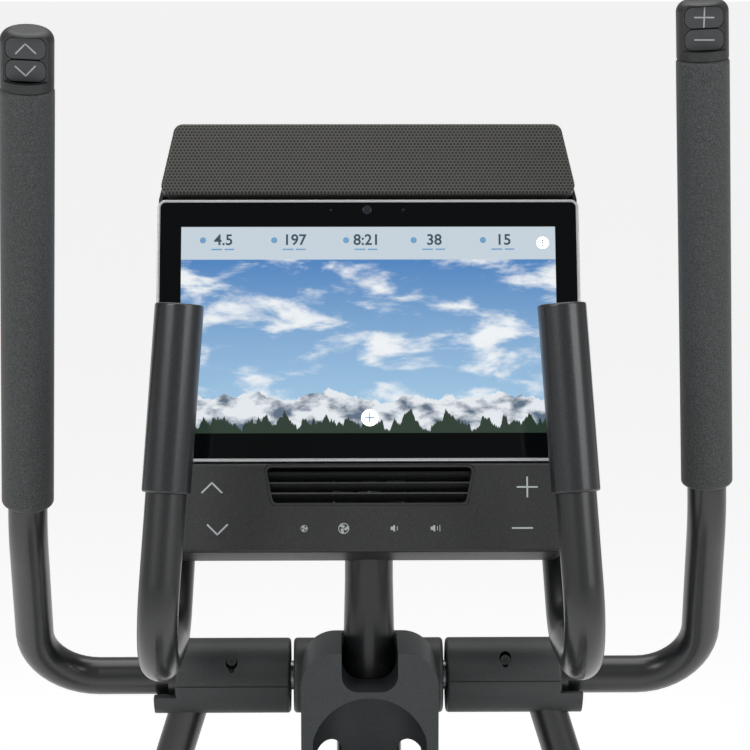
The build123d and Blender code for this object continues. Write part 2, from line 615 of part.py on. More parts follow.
def pedal_arm(side):
    roller, pin = roller_centre(side), crank_pin(side)
    length = ARM_LENGTH
    box = Pos(ARM_X, length / 2, 0) * Box(ARM_W, length, ARM_H)
    box = fillet(box.edges().filter_by(Axis.Y), 8)
    box -= Pos(ARM_X, length / 2, 0) * Box(ARM_W - 2 * ARM_WALL, length - 60, ARM_H - 2 * ARM_WALL)
    arm = box
    for y in (0, length):
        arm += Pos(ARM_X, y, 0) * Rot(0, 90, 0) * Cylinder(BOSS_R, ARM_W)
    arm -= Pos(ARM_X - ARM_W / 2 + 14, length, 0) * Rot(0, 90, 0) * Cylinder(14, 40)
    stub_in = RAIL_X - ROLLER_W / 2 - 4
    arm += Pos((stub_in + ARM_X) / 2, 0, 0) * Rot(0, 90, 0) * Cylinder(8, ARM_X - stub_in)
    plate = Pos(ARM_X + ARM_W / 2 + BRACKET_T / 2, length * LINK_ALONG, LINK_ABOVE + 10)
    plate = plate * fillet(Box(BRACKET_T, 150, 170).edges().filter_by(Axis.X), 20)
    arm += plate
    for y in (length * LINK_ALONG - 225, length * LINK_ALONG - 330):
        arm += Pos(ARM_X, y, ARM_H / 2 + 8) * Box(ARM_W, 30, 16)
    return Pos(0, roller[0], roller[1]) * Rot(arm_angle(side), 0, 0) * arm


def pedal(side):
    roller = roller_centre(side)
    centre_y = ARM_LENGTH * LINK_ALONG - 278
    plate = Box(PEDAL_W, PEDAL_L, PEDAL_RIM + PEDAL_T)
    plate = fillet(plate.edges().filter_by(Axis.Z), 34)
    inner = Box(PEDAL_W - 10, PEDAL_L - 10, PEDAL_RIM + PEDAL_T)
    inner = Pos(0, 0, PEDAL_T) * fillet(inner.edges().filter_by(Axis.Z), 30)
    tray = plate - inner
    tray = Pos(PEDAL_X, centre_y, ARM_H / 2 + 16 + (PEDAL_RIM + PEDAL_T) / 2) * tray
    mat = fillet(Box(PEDAL_W - 14, PEDAL_L - 14, 8).edges().filter_by(Axis.Z), 28)
    mat = Pos(PEDAL_X, centre_y, ARM_H / 2 + 16 + PEDAL_T + 4) * mat
    place = Pos(0, roller[0], roller[1]) * Rot(arm_angle(side), 0, 0)
    return place * tray, place * mat


def roller_wheel(side):
    y, z = roller_centre(side)
    lo, hi = RAIL_X - ROLLER_W / 2, RAIL_X + ROLLER_W / 2
    wheel = fillet(rod(lo, hi, y, z, ROLLER_R).edges().filter_by(GeomType.CIRCLE), 2)
    return wheel - rod(lo - 1, hi + 1, y, z, 8 + RUN)


def pedals():
    for name, side in SIDES:
        save(f"pedal_arm_{name}", mirrored(pedal_arm(side), side))
        tray, mat = pedal(side)
        save(f"pedal_{name}", mirrored(tray, side))
        save(f"pedal_mat_{name}", mirrored(mat, side))
        save(f"roller_{name}", mirrored(roller_wheel(side), side))
        save(f"link_{name}", mirrored(link(side), side))


# ---------------- fixed pulse handles ----------------


def pulse_bars():
    low, top = Vector(*PULSE_LOW), Vector(*PULSE_TOP)
    down = Plane(origin=PULSE_TOP, x_dir=(1, 0, 0), z_dir=low - top)
    points = [PULSE_TOP, PULSE_LOW, PULSE_BACK, PULSE_RISE, (8, PULSE_CROSS_Y, PULSE_CROSS_Z)]
    bar = tube(points, (62, 46, 30), PULSE_R)
    start = Cylinder(SLEEVE_R, SLEEVE_LENGTH, align=STANDING)
    sleeve = down * Pos(0, 0, -SLEEVE_TOP) * fillet(start.edges().filter_by(GeomType.CIRCLE), 2)
    for name, side in SIDES:
        save(f"pulse_bar_{name}", mirrored(bar, side))
        save(f"pulse_sleeve_{name}", mirrored(sleeve - bar, side))


# ---------------- console, drawn with X across, Y up the screen and Z towards the user ----------------


def slab(points, z0, z1, radius=0):
    if radius:
        outline = FilletPolyline(*points, radius=radius, close=True)
    else:
        outline = Polyline(*points, close=True)
    face = make_face(outline)
    return Pos(0, 0, z0) * extrude(face, z1 - z0)


def outline_points(grow, top, bottom):
    """The outline of the whole console head, narrower at the speaker and at the foot."""
    half, high, low = TABLET_W / 2 - grow, SPEAKER_TOP_W / 2 - grow, LOWER_W / 2 - grow
    right = [(low, -bottom), (half, -TABLET_H / 2 - 2), (half, SPEAKER_BOTTOM), (high, top)]
    return right + [(-x, y) for x, y in reversed(right)]


def rear_shell():
    outer = slab(outline_points(0, SPEAKER_TOP, LOWER_BOTTOM), -SHELL_DEPTH, -TABLET_T, 8)
    outer = fillet(outer.faces().sort_by(Axis.Z)[0].edges(), EDGE_R)
    inner = slab(outline_points(SHELL_WALL, SPEAKER_TOP - SHELL_WALL, LOWER_BOTTOM - SHELL_WALL),
                 -SHELL_DEPTH + SHELL_WALL, 0, 6)
    inner = fillet(inner.faces().sort_by(Axis.Z)[0].edges(), EDGE_R - SHELL_WALL)
    shell = CONSOLE * (outer - inner)
    shell -= Pos(0, MAST_Y, 1300) * Cylinder(MAST_R + SEAT, 300)
    save("console_rear_shell", shell)


def tablet():
    body = Box(TABLET_W, TABLET_H, TABLET_T)
    body = fillet(body.edges().filter_by(Axis.Z), TABLET_R)
    body = Pos(0, 0, -TABLET_T / 2) * fillet(body.faces().sort_by(Axis.Z)[-1].edges(), 1)
    glass_w, glass_h = TABLET_W - 2 * TRIM, TABLET_H - 2 * TRIM
    pocket = fillet(Box(glass_w, glass_h, 2 * BEZEL_T).edges().filter_by(Axis.Z), TABLET_R - TRIM)
    body -= pocket
    body -= Pos(0, 0, -BEZEL_T - 5) * Box(PANEL_W + 8, PANEL_H + 8, 10)
    save("tablet_housing", CONSOLE * body)
    bezel = Box(glass_w - 0.4, glass_h - 0.4, BEZEL_T)
    bezel = fillet(bezel.edges().filter_by(Axis.Z), TABLET_R - TRIM - 0.2)
    bezel = Pos(0, 0, -BEZEL_T / 2) * bezel
    bezel -= Box(PANEL_W, PANEL_H, 10)
    save("screen_bezel", CONSOLE * bezel)
    panel = Pos(0, 0, -3.4) * Box(PANEL_W + 6, PANEL_H + 6, 2.4) + Pos(0, 0, -1.5) * Box(
        PANEL_W - 0.4, PANEL_H - 0.4, 2)
    save("display_panel", CONSOLE * panel)


def speakers():
    face = [(-TABLET_W / 2 + 1, SPEAKER_BOTTOM), (TABLET_W / 2 - 1, SPEAKER_BOTTOM),
            (SPEAKER_TOP_W / 2, SPEAKER_TOP), (-SPEAKER_TOP_W / 2, SPEAKER_TOP)]
    grille = slab(face, -TABLET_T, 2, 8)
    grille = fillet(grille.faces().sort_by(Axis.Z)[-1].edges(), 3)
    inner = [(x * 0.98, y) for x, y in ((face[0][0], SPEAKER_BOTTOM + 3), (face[1][0], SPEAKER_BOTTOM + 3),
                                        (face[2][0], SPEAKER_TOP - 3), (face[3][0], SPEAKER_TOP - 3))]
    grille -= slab(inner, -TABLET_T - 1, 0, 6)
    save("speaker_grille", CONSOLE * grille)


def lower_panel():
    top = TABLET_H / 2 + 1
    low, high = LOWER_W / 2, TABLET_W / 2
    points = [(-low, -LOWER_BOTTOM), (low, -LOWER_BOTTOM), (high, -top), (-high, -top)]
    panel = slab(points, -TABLET_T, 0, 7)
    panel = fillet(panel.faces().sort_by(Axis.Z)[-1].edges(), 3)
    inner = [(-LOWER_W / 2 + 3, -LOWER_BOTTOM + 3), (LOWER_W / 2 - 3, -LOWER_BOTTOM + 3),
             (TABLET_W / 2 - 4, -top - 3), (-TABLET_W / 2 + 4, -top - 3)]
    panel -= slab(inner, -TABLET_T - 1, -3, 5)
    panel -= slab(vent_points(0), -TABLET_T - 1, 1, 5)
    save("console_lower_panel", CONSOLE * panel)
    frame = slab(vent_points(SEAT), -14, -0.5, 5) - slab(vent_points(SEAT + 2), -20, 0, 4)
    for i in range(3):
        y = -VENT_TOP - SLAT_PITCH * (i + 1)
        slat = Pos(0, y, -7) * Rot(-35, 0, 0) * Box(VENT_TOP_W - 4, 1.6, 9)
        frame += slat & slab(vent_points(SEAT), -14, -0.5)
    save("fan_louvre", CONSOLE * frame)
    fan_y = -(VENT_TOP + VENT_BOTTOM) / 2
    motor = Pos(0, fan_y, -47) * Cylinder(13, 14) + Pos(0, fan_y, -34) * Cylinder(2, 14)
    motor += Pos(0, fan_y, -55.5) * Box(60, 30, 3)
    save("fan_motor", CONSOLE * motor)
    fan = Pos(0, fan_y, -31) * Cylinder(9, 14)
    for i in range(7):
        blade = Pos(0, fan_y, -31) * Rot(0, 0, i * 360 / 7) * Pos(18, 0, 0) * Rot(35, 0, 0) * Box(22, 13, 1.6)
        fan += blade
    save("fan_impeller", CONSOLE * (fan - Pos(0, fan_y, -31) * Cylinder(2 + RUN, 40)))


def vent_points(inset):
    top, bottom = VENT_TOP_W / 2 - inset, VENT_BOTTOM_W / 2 - inset
    return [(-bottom, -VENT_BOTTOM + inset), (bottom, -VENT_BOTTOM + inset), (top, -VENT_TOP - inset),
            (-top, -VENT_TOP - inset)]


# ---------------- bottle holder ----------------


def bottle_holder():
    """A shell round the foot of the mast with a bottle cup in front of it."""
    body = block(-HOLDER_W / 2, HOLDER_W / 2, HOLDER_FRONT, MAST_Y + 16, CUP_FLOOR, HOLDER_TOP)
    body = fillet(body.edges().filter_by(Axis.Y).group_by(Axis.Z)[-1], 28)
    arch = Pos(0, HOLDER_FRONT, ARCH_Z) * Rot(90, 0, 0) * Cylinder(HOLDER_ARCH_R, 90)
    arch += block(-HOLDER_ARCH_R, HOLDER_ARCH_R, HOLDER_FRONT - 45, HOLDER_FRONT + 45, CUP_FLOOR - 1, ARCH_Z)
    up = (Align.CENTER, Align.CENTER, Align.MIN)
    bottle = Pos(0, CUP_Y, CUP_FLOOR - 1) * Cylinder(HOLDER_ARCH_R, 300, align=up)
    body -= arch & bottle
    cup = Pos(0, CUP_Y, CUP_FLOOR) * Cylinder(HOLDER_ARCH_R + CUP_WALL, CUP_RING_TOP - CUP_FLOOR, align=up)
    cup -= Pos(0, CUP_Y, CUP_FLOOR + CUP_WALL) * Cylinder(HOLDER_ARCH_R, 200, align=up)
    body += cup
    middle = (WINDOW_IN + WINDOW_OUT) / 2
    for side in (1, -1):
        near, far = sorted((side * WINDOW_IN, side * WINDOW_OUT))
        window = block(near, far, CUP_Y + 10, MAST_Y + 20, CUP_FLOOR + 25, WINDOW_TOP)
        window += Pos(side * middle, MAST_Y - 20, WINDOW_TOP) * Rot(90, 0, 0) * Cylinder(
            (WINDOW_OUT - WINDOW_IN) / 2, 90)
        body -= window
    body -= post_tube(POST_R + SEAT)
    body -= Pos(0, MAST_Y, MAST_FOOT) * Cylinder(MAST_FLARE_R + SEAT, 200, align=up)
    notch = block(-MAST_FLARE_R, MAST_FLARE_R, HOLDER_FRONT - 1, MAST_Y, NOTCH_Z + 14, 1300)
    notch += block(-MAST_FLARE_R + 14, MAST_FLARE_R - 14, HOLDER_FRONT - 1, MAST_Y, NOTCH_Z, 1300)
    for side in (1, -1):
        notch += Pos(side * (MAST_FLARE_R - 14), (HOLDER_FRONT - 1 + MAST_Y) / 2, NOTCH_Z + 14) * Rot(
            90, 0, 0) * Cylinder(14, MAST_Y - HOLDER_FRONT + 1)
    body -= notch
    body -= block(-31, 31, MAST_Y, PIVOT[1], PIVOT[2] - 19, PIVOT[2] + 19)
    body -= rod(-200, 200, PIVOT[1], PIVOT[2], COVER_R + SEAT)
    save("bottle_holder", body)


def power_inlet():
    inlet = block(-24, 24, 872.6, 877, 118, 150)
    inlet += block(-18, 18, 852, 873, 122, 146)
    inlet -= block(-12, 12, 860, 880, 126, 142)
    save("power_inlet", inlet)


base_frame()
stabilizers()
stabilizer_caps()
levelling_feet()
transport_wheels()
upright()
centre_cover()
handles()
drive()
shroud()
ramp()
pedals()
pulse_bars()
rear_shell()
tablet()
speakers()
lower_panel()
bottle_holder()
power_inlet()
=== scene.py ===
"""Looks of a front-drive elliptical trainer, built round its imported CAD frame.

Each sub-assembly is a class that dresses its CAD nodes with finishes and adds the small pieces that
only the eye needs: key legends, the picture on the touch screen, screw heads, mesh and treads.
Everything is in metres, in the frame of the CAD model: +X right, +Y forward, +Z up.
"""

import json
import logging
import math
from dataclasses import dataclass, field
from enum import Enum
from typing import Sequence

import bpy
from mathutils import Matrix, Vector


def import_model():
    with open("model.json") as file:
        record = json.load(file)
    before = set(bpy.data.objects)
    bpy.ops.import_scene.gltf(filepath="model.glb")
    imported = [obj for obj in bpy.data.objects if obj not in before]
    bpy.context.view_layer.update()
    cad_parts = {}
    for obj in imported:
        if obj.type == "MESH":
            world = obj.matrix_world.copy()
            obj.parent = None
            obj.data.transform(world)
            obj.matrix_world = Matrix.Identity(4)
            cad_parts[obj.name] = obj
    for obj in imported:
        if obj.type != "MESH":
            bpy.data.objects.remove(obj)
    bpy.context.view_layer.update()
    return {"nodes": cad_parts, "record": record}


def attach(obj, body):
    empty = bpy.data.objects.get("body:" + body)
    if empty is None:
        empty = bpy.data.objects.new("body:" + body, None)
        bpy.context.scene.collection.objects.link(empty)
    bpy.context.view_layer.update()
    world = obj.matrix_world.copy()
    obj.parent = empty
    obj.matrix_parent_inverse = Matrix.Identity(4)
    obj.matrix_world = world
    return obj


Material = bpy.types.Material
Piece = bpy.types.Object
Socket = bpy.types.NodeSocket
Tree = bpy.types.NodeTree

LOG = logging.getLogger("trainer")
MM = 0.001


# ---------------------------------------------------------------- colour and nodes
def linear(hex_colour: str) -> tuple[float, float, float, float]:
    """Turn an sRGB hex colour into linear RGBA.

    Args:
        hex_colour: Six hex digits, with or without a leading hash.

    Returns:
        Red, green, blue and an alpha of one.
    """
    digits = hex_colour.lstrip("#")
    channels = [int(digits[i:i + 2], 16) / 255 for i in (0, 2, 4)]
    red, green, blue = (c / 12.92 if c <= 0.04045 else ((c + 0.055) / 1.055) ** 2.4 for c in channels)
    return (red, green, blue, 1.0)


def add(tree: Tree, kind: str, settings: dict | None = None,
        links: dict | None = None) -> bpy.types.Node:
    """Add one shader node with its settings and the values or sockets that feed it.

    Args:
        tree: The material's node tree.
        kind: The node's type name.
        settings: Attributes of the node.
        links: Input name or number to a value, or to the output socket that feeds it.

    Returns:
        The new node.
    """
    node = tree.nodes.new(kind)
    for name, value in (settings or {}).items():
        setattr(node, name, value)
    for name, value in (links or {}).items():
        if isinstance(value, Socket):
            tree.links.new(value, node.inputs[name])
        else:
            node.inputs[name].default_value = value
    return node


def fresh(name: str) -> tuple[Material, Tree, bpy.types.Node, Socket]:
    """Make an empty node material.

    Args:
        name: The material's name.

    Returns:
        The material, its tree, its Principled shader and the Object coordinates.
    """
    material = bpy.data.materials.new(name)
    material.use_nodes = True
    tree = material.node_tree
    tree.nodes.clear()
    shader = add(tree, "ShaderNodeBsdfPrincipled")
    add(tree, "ShaderNodeOutputMaterial", links={"Surface": shader.outputs["BSDF"]})
    coords = add(tree, "ShaderNodeTexCoord")
    return material, tree, shader, coords.outputs["Object"]


def math_node(tree: Tree, operation: str, first: object, second: object = 0.0) -> Socket:
    """Add one Math node.

    Args:
        tree: The material's node tree.
        operation: The operation's name.
        first: Value or socket.
        second: Value or socket.

    Returns:
        The result's socket.
    """
    return add(tree, "ShaderNodeMath", {"operation": operation}, {0: first, 1: second}).outputs[0]


def mix_colour(tree: Tree, factor: object, first: object, second: object) -> Socket:
    """Mix two colours.

    Args:
        tree: The material's node tree.
        factor: Value or socket, 0 for the first colour.
        first: Colour or socket.
        second: Colour or socket.

    Returns:
        The mixed colour's socket.
    """
    mixer = add(tree, "ShaderNodeMix", {"data_type": "RGBA"}, {0: factor, 6: first, 7: second})
    return mixer.outputs[2]


# ---------------------------------------------------------------- finishes
@dataclass(frozen=True)
class Grained:
    """A surface with a fine grain: powder coat, moulded plastic, foam, rubber or turned steel."""

    name: str
    base: str
    fleck: str
    grain_mm: float
    bump_mm: float
    roughness: float
    metallic: float = 0.0
    fleck_share: float = 0.5
    coat: float = 0.0
    sheen: float = 0.0
    variation: float = 0.12
    stretch: tuple[float, float, float] = (1.0, 1.0, 1.0)

    def build(self) -> Material:
        """Make the material: grain for colour and bump, and a slow drift of tone and gloss.

        Returns:
            The material.
        """
        material, tree, shader, coords = fresh(self.name)
        mapping = add(tree, "ShaderNodeMapping", links={"Vector": coords, "Scale": self.stretch})
        place = mapping.outputs[0]
        # The grain is drawn a little coarser than the real one, so that it shows at arm's length.
        grain = add(tree, "ShaderNodeTexNoise", links={
            "Vector": place, "Scale": 1 / (self.grain_mm * MM), "Detail": 3.0, "Roughness": 0.6})
        drift = add(tree, "ShaderNodeTexNoise", links={"Vector": coords, "Scale": 9.0, "Detail": 2.0})
        edge = 0.62 - 0.24 * self.fleck_share
        flecks = add(tree, "ShaderNodeMapRange", {"interpolation_type": "SMOOTHSTEP"},
                     {0: grain.outputs[0], 1: edge - 0.08, 2: edge + 0.10})
        toned = mix_colour(tree, flecks.outputs[0], linear(self.base), linear(self.fleck))
        dim = add(tree, "ShaderNodeMapRange", links={
            0: drift.outputs[0], 3: 1 - self.variation, 4: 1 + self.variation})
        scaled = add(tree, "ShaderNodeVectorMath", {"operation": "SCALE"},
                     {0: toned, "Scale": dim.outputs[0]})
        tree.links.new(scaled.outputs[0], shader.inputs["Base Color"])
        gloss = add(tree, "ShaderNodeMapRange", links={0: drift.outputs[0], 3: self.roughness * 0.88,
                                                       4: min(1.0, self.roughness * 1.12)})
        tree.links.new(gloss.outputs[0], shader.inputs["Roughness"])
        bump = add(tree, "ShaderNodeBump", links={"Strength": 1.0, "Distance": self.bump_mm * MM,
                                                  "Height": grain.outputs[0]})
        tree.links.new(bump.outputs[0], shader.inputs["Normal"])
        shader.inputs["Metallic"].default_value = self.metallic
        shader.inputs["Coat Weight"].default_value = self.coat
        shader.inputs["Coat Roughness"].default_value = 0.18
        shader.inputs["Sheen Weight"].default_value = self.sheen
        return material


@dataclass(frozen=True)
class Gloss:
    """A smooth glossy surface, such as printed glass, a lens or a painted legend."""

    name: str
    base: str
    roughness: float
    emission: float = 0.0
    metallic: float = 0.0
    specular: float = 0.5

    def build(self) -> Material:
        """Make the material with faint polishing marks in its gloss.

        Returns:
            The material.
        """
        material, tree, shader, coords = fresh(self.name)
        marks = add(tree, "ShaderNodeTexNoise", links={"Vector": coords, "Scale": 160.0, "Detail": 4.0})
        gloss = add(tree, "ShaderNodeMapRange", links={0: marks.outputs[0], 3: self.roughness * 0.8,
                                                       4: self.roughness * 1.25})
        tree.links.new(gloss.outputs[0], shader.inputs["Roughness"])
        tone = add(tree, "ShaderNodeMapRange", links={0: marks.outputs[0], 3: 0.92, 4: 1.08})
        scaled = add(tree, "ShaderNodeVectorMath", {"operation": "SCALE"},
                     {0: linear(self.base)[:3], "Scale": tone.outputs[0]})
        tree.links.new(scaled.outputs[0], shader.inputs["Base Color"])
        shader.inputs["Metallic"].default_value = self.metallic
        shader.inputs["Specular IOR Level"].default_value = self.specular
        shader.inputs["Emission Color"].default_value = linear(self.base)
        shader.inputs["Emission Strength"].default_value = self.emission
        return material


@dataclass(frozen=True)
class PerforatedMesh:
    """Painted sheet steel with staggered round holes over black cloth."""

    name: str = "perforated_steel"
    sheet: str = "#454440"
    hole: str = "#050505"
    pitch_mm: float = 3.0        # a little coarser than the real 1.75 mm, so that the holes show
    hole_mm: float = 0.98        # radius, kept in the real share of the pitch

    def holes(self, tree: Tree, place: Socket, shift: float) -> Socket:
        """Measure the distance to the nearest hole's middle on one of the two staggered grids.

        Args:
            tree: The material's node tree.
            place: The point on the sheet.
            shift: The grid's shift, as a share of its pitch.

        Returns:
            The distance's socket.
        """
        pitch = self.pitch_mm * MM
        cell = Vector((pitch, pitch * math.sqrt(3), 1.0))
        moved = add(tree, "ShaderNodeVectorMath", {"operation": "MULTIPLY_ADD"},
                    {0: place, 1: (1 / cell.x, 1 / cell.y, 0.0), 2: (shift, shift, 0.0)})
        part = add(tree, "ShaderNodeVectorMath", {"operation": "FRACTION"}, {0: moved.outputs[0]})
        centred = add(tree, "ShaderNodeVectorMath", {"operation": "SUBTRACT"},
                      {0: part.outputs[0], 1: (0.5, 0.5, 0.0)})
        sized = add(tree, "ShaderNodeVectorMath", {"operation": "MULTIPLY"},
                    {0: centred.outputs[0], 1: (cell.x, cell.y, 0.0)})
        length = add(tree, "ShaderNodeVectorMath", {"operation": "LENGTH"}, {0: sized.outputs[0]})
        return length.outputs["Value"]

    def build(self, tilt: float) -> Material:
        """Make the material for a panel that leans back.

        Args:
            tilt: How far it leans back from upright, in radians.

        Returns:
            The material.
        """
        material, tree, shader, coords = fresh(self.name)
        turned = add(tree, "ShaderNodeMapping", links={
            "Vector": coords, "Rotation": (tilt - math.pi / 2, 0.0, 0.0)})
        nearest = math_node(tree, "MINIMUM", self.holes(tree, turned.outputs[0], 0.0),
                            self.holes(tree, turned.outputs[0], 0.5))
        radius = self.hole_mm * MM
        solid = add(tree, "ShaderNodeMapRange", {"interpolation_type": "SMOOTHSTEP"},
                    {0: nearest, 1: radius * 0.85, 2: radius * 1.15})
        tree.links.new(mix_colour(tree, solid.outputs[0], linear(self.hole), linear(self.sheet)),
                       shader.inputs["Base Color"])
        bump = add(tree, "ShaderNodeBump", links={
            "Strength": 1.0, "Distance": 0.5 * MM, "Height": solid.outputs[0]})
        tree.links.new(bump.outputs[0], shader.inputs["Normal"])
        shader.inputs["Roughness"].default_value = 0.5
        shader.inputs["Metallic"].default_value = 0.2
        return material


@dataclass(frozen=True)
class Landscape:
    """The lit picture on the touch screen: a pale status strip, sky with clouds and snowy hills."""

    name: str = "screen_picture"
    strip: str = "#c9d6e0"
    sky_top: str = "#2272bb"
    sky_low: str = "#a9d0ec"
    cloud: str = "#f4f8fb"
    snow: str = "#e9eef4"
    rock: str = "#5c6f84"
    pine: str = "#1c3324"
    # Each skyline: how jagged, how tall, where its foot lies and where along the noise it starts.
    hill_line: tuple[float, float, float, float] = (2.2, 0.42, -0.86, 3.7)
    pine_line: tuple[float, float, float, float] = (9.0, 0.5, -1.13, 1.3)
    strip_foot: float = 0.674
    glow: float = 0.92

    def build(self, face: "Face") -> Material:
        """Make the picture on a face's own coordinates, from its middle.

        Args:
            face: The part of the display that is lit.

        Returns:
            The material.
        """
        material, tree, shader, coords = fresh(self.name)
        tilt = math.atan2(face.normal.z, -face.normal.y)
        offset = add(tree, "ShaderNodeVectorMath", {"operation": "SUBTRACT"},
                     {0: coords, 1: tuple(face.centre)})
        turned = add(tree, "ShaderNodeMapping", links={
            "Vector": offset.outputs[0], "Rotation": (tilt - math.pi / 2, 0.0, 0.0)})
        unit = add(tree, "ShaderNodeVectorMath", {"operation": "MULTIPLY"},
                   {0: turned.outputs[0], 1: (2 / face.width, 2 / face.height, 0.0)})
        parts = add(tree, "ShaderNodeSeparateXYZ", links={0: unit.outputs[0]})
        across, up = parts.outputs[0], parts.outputs[1]
        rise = add(tree, "ShaderNodeMapRange", links={0: up, 1: -0.9, 2: 0.9})
        sky = mix_colour(tree, rise.outputs[0], linear(self.sky_low), linear(self.sky_top))
        wide = add(tree, "ShaderNodeVectorMath", {"operation": "MULTIPLY"},
                   {0: unit.outputs[0], 1: (1.5, 2.2, 1.0)})
        puffs = add(tree, "ShaderNodeTexNoise", links={
            "Vector": wide.outputs[0], "Scale": 1.5, "Detail": 9.0, "Roughness": 0.56,
            "Distortion": 0.25})
        cover = add(tree, "ShaderNodeMapRange", {"interpolation_type": "SMOOTHSTEP"},
                    {0: puffs.outputs[0], 1: 0.47, 2: 0.64})
        clouded = mix_colour(tree, cover.outputs[0], sky, linear(self.cloud))
        hills = self.skyline(tree, across, up, self.hill_line)
        ridges = add(tree, "ShaderNodeTexNoise", links={
            "Vector": unit.outputs[0], "Scale": 7.0, "Detail": 8.0})
        bare = add(tree, "ShaderNodeMapRange", links={0: ridges.outputs[0], 1: 0.46, 2: 0.62})
        slope = mix_colour(tree, bare.outputs[0], linear(self.snow), linear(self.rock))
        with_hills = mix_colour(tree, hills, clouded, slope)
        woods = self.skyline(tree, across, up, self.pine_line)
        with_pines = mix_colour(tree, woods, with_hills, linear(self.pine))
        status = add(tree, "ShaderNodeMapRange", links={
            0: up, 1: self.strip_foot, 2: self.strip_foot + 0.008})
        picture = mix_colour(tree, status.outputs[0], with_pines, linear(self.strip))
        shader.inputs["Base Color"].default_value = (0.01, 0.01, 0.01, 1.0)
        shader.inputs["Roughness"].default_value = 0.12
        shader.inputs["Emission Strength"].default_value = self.glow
        tree.links.new(picture, shader.inputs["Emission Color"])
        return material

    def skyline(self, tree: Tree, across: Socket, up: Socket,
                shape: tuple[float, float, float, float]) -> Socket:
        """Mark what lies under a jagged skyline.

        Args:
            tree: The material's node tree.
            across: Place across the picture, from -1 to 1.
            up: Place up the picture, from -1 to 1.
            shape: The skyline's frequency, height, foot and start.

        Returns:
            The socket of a mask, one under the skyline and nought above it.
        """
        frequency, height, base, start = shape
        along = math_node(tree, "ADD", across, start)
        line = add(tree, "ShaderNodeTexNoise", {"noise_dimensions": "1D"},
                   {"W": along, "Scale": frequency, "Detail": 8.0, "Roughness": 0.62})
        top = math_node(tree, "MULTIPLY_ADD", line.outputs[0], height)
        top.node.inputs[2].default_value = base
        gap = math_node(tree, "SUBTRACT", top, up)
        return add(tree, "ShaderNodeMapRange", links={0: gap, 1: 0.0, 2: 0.012}).outputs[0]


class Finish(Enum):
    """Every plain finish on the machine, by what the real surface is, and the painted shade in the
    screw sockets.
    """

    # Black polyester powder coat: satin, with a faint orange peel.
    POWDER_COAT = Grained("powder_coated_steel", "#0c0d0e", "#15171a", 0.9, 0.03, 0.34, coat=0.2)
    # Injection-moulded ABS covers with a spark-eroded grain, dark grey and matt.
    COVER_ABS = Grained("grained_abs_cover", "#1c1e1f", "#2a2d2e", 0.8, 0.07, 0.52)
    # The same plastic in a bluish grey.
    HOLDER_ABS = Grained("grained_abs_holder", "#1c2022", "#282d30", 0.8, 0.07, 0.5)
    # Nearly black console plastic with small pale flecks in its grain.
    CONSOLE_ABS = Grained("speckled_abs_console", "#08090a", "#26282b", 0.75, 0.08, 0.46,
                          fleck_share=0.25)
    # Closed-cell foam: grey, matt, with open pores cut by the extruder.
    FOAM = Grained("closed_cell_foam", "#151717", "#35393a", 1.0, 0.28, 0.66, fleck_share=0.5,
                   sheen=0.1)
    # Silicone key membrane, soft and matt.
    SILICONE = Grained("silicone_membrane", "#242628", "#2d2f31", 0.6, 0.02, 0.5)
    # Conductive painted sleeve with metal flakes under a satin lacquer.
    SENSOR_SLEEVE = Grained("sensor_sleeve_lacquer", "#101113", "#25282b", 0.7, 0.02, 0.34,
                            metallic=0.2, fleck_share=0.35, coat=0.3)
    # Moulded rubber for feet, mats and caps.
    RUBBER = Grained("moulded_rubber", "#17181a", "#222325", 1.2, 0.08, 0.78)
    # Glass-filled nylon for trays, wheels and pulleys.
    NYLON = Grained("glass_filled_nylon", "#1e1f21", "#2c2e30", 1.1, 0.06, 0.55)
    # Turned steel with fine circular tool marks.
    TURNED_STEEL = Grained("turned_steel", "#8a8d90", "#a9acaf", 0.5, 0.02, 0.3, metallic=1.0)
    # Polished rail tube with long drawing lines.
    RAIL_STEEL = Grained("drawn_rail_tube", "#9fa3a7", "#bcc0c4", 0.6, 0.01, 0.2, metallic=1.0,
                         stretch=(1.0, 0.04, 1.0))
    # Cast and turned flywheel iron.
    IRON = Grained("turned_cast_iron", "#4c4e50", "#626466", 1.4, 0.05, 0.42, metallic=0.9)
    # Polyurethane roller tyre.
    URETHANE = Grained("cast_urethane", "#2c2d30", "#35373a", 0.9, 0.02, 0.4)
    # Silver paint on the touch screen's thin surround.
    SILVER = Grained("silver_paint", "#a6a8aa", "#c6c8ca", 0.4, 0.01, 0.32, metallic=0.7, coat=0.3)
    # Black printed glass round the picture.
    BLACK_GLASS = Gloss("black_printed_glass", "#040506", 0.05, specular=0.12)
    LENS = Gloss("camera_lens_glass", "#10151f", 0.03)
    LEGEND = Gloss("printed_grey_legend", "#8f9696", 0.5)
    KEY_LEGEND = Gloss("printed_key_legend", "#8e8e8e", 0.55)
    SCREEN_WHITE = Gloss("lit_white", "#f5f8fa", 0.3, emission=0.9)
    SCREEN_DARK = Gloss("lit_dark_text", "#20333f", 0.3, emission=0.6)
    SCREEN_SHADE = Gloss("lit_shade", "#4d6f8c", 0.3, emission=0.8)
    # Painted shade: a near-black that stands in for the shade inside the hollow hexagon sockets of the
    # cover screws.
    SOCKET_SHADE = Gloss("painted_socket_shade", "#050505", 0.8)
    SCREW = Gloss("black_oxide_screw", "#2a2b2c", 0.35, metallic=0.8)


